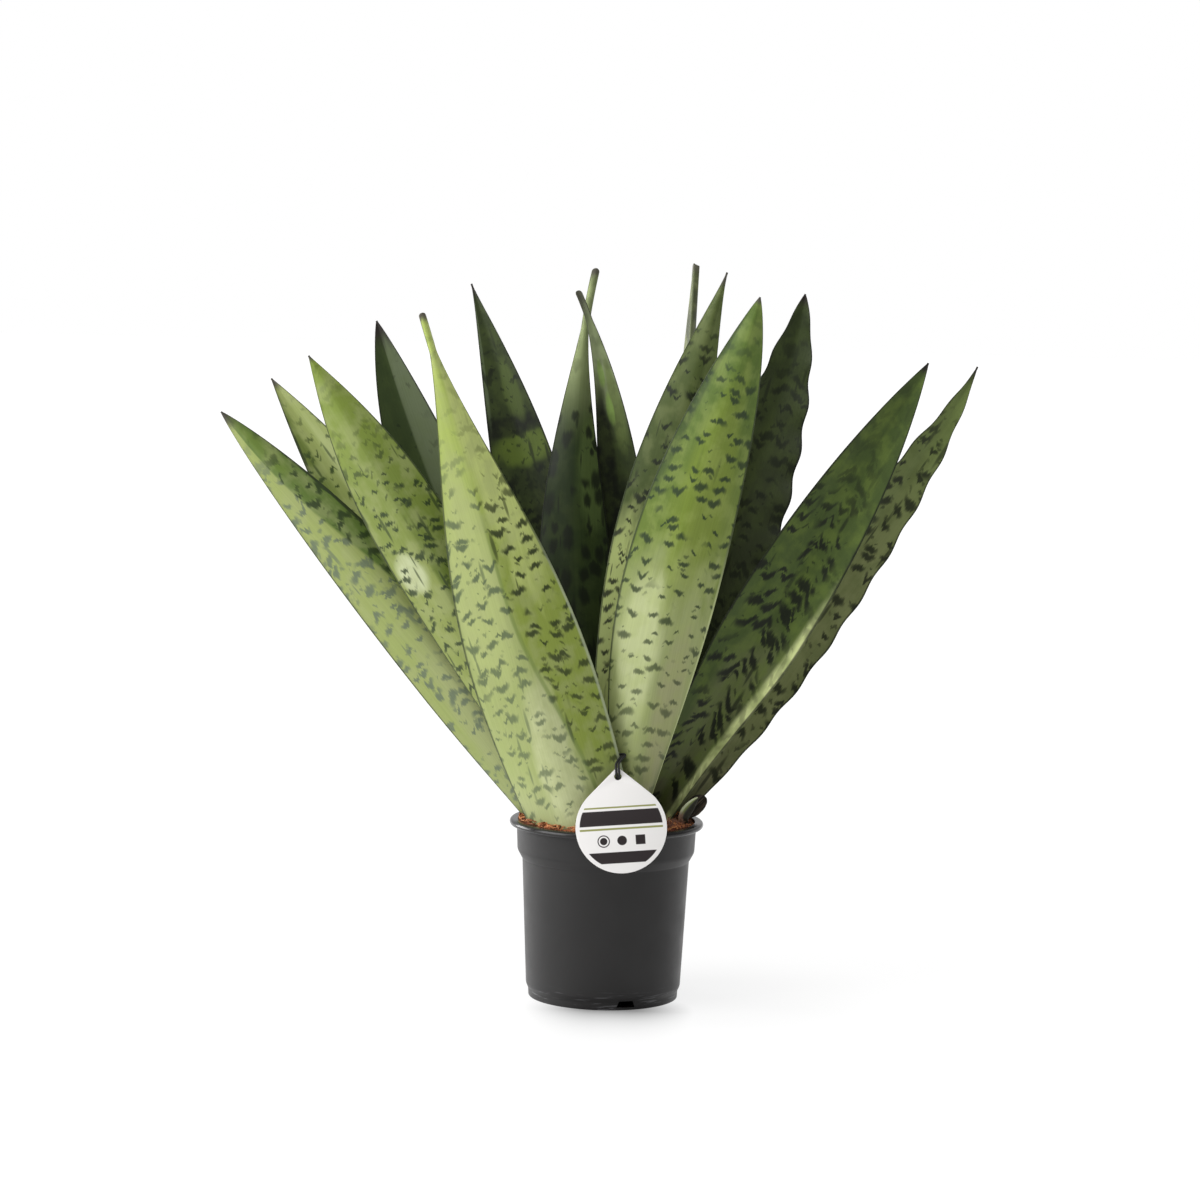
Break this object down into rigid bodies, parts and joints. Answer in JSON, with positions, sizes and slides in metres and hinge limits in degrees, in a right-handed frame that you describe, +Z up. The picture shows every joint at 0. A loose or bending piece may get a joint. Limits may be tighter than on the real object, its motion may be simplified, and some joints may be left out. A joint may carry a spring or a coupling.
{
  "type": "potted ceylon bowstring hemp",
  "caption": "Ceylon bowstring hemp, a broad-leaved snake plant with stiff cross-banded leaves fanning out of a dark grey nursery pot filled with coir, with a plain hang tag.",
  "frame": {"origin": "centre of the pot's flat base, on the surface that the pot stands on", "axes": "+Z up; -Y towards the side that shows the tag, the plant's best side; +X to the right of it"},
  "size_m": [0.5443, 0.2572, 0.5284],
  "materials": {
    "pot_plastic": "satin moulded polypropylene, dark grey",
    "coir": "loose fibrous coco coir, orange-brown",
    "leaf": "leathery satin green leaf with dark transverse bands",
    "pale_leaf": "pale green scale leaf",
    "dried_leaf": "dried blackish leaf sheath",
    "tag_plastic": "thin white plastic with plain printed bands",
    "elastic": "black braided elastic string"
  },
  "bodies": {
    "root": {"pot": "pot_plastic", "soil": "coir", "leaf_01": "leaf", "leaf_02": "leaf", "leaf_03": "leaf", "leaf_04": "leaf", "leaf_05": "leaf", "leaf_06": "leaf", "leaf_07": "leaf", "leaf_08": "leaf", "leaf_09": "leaf", "leaf_10": "leaf", "leaf_11": "leaf", "leaf_12": "leaf", "leaf_13": "leaf", "leaf_14": "leaf", "leaf_stub": "pale_leaf", "dry_sheath": "dried_leaf", "label": "tag_plastic", "label_loop": "elastic"}
  },
  "joints": []
}
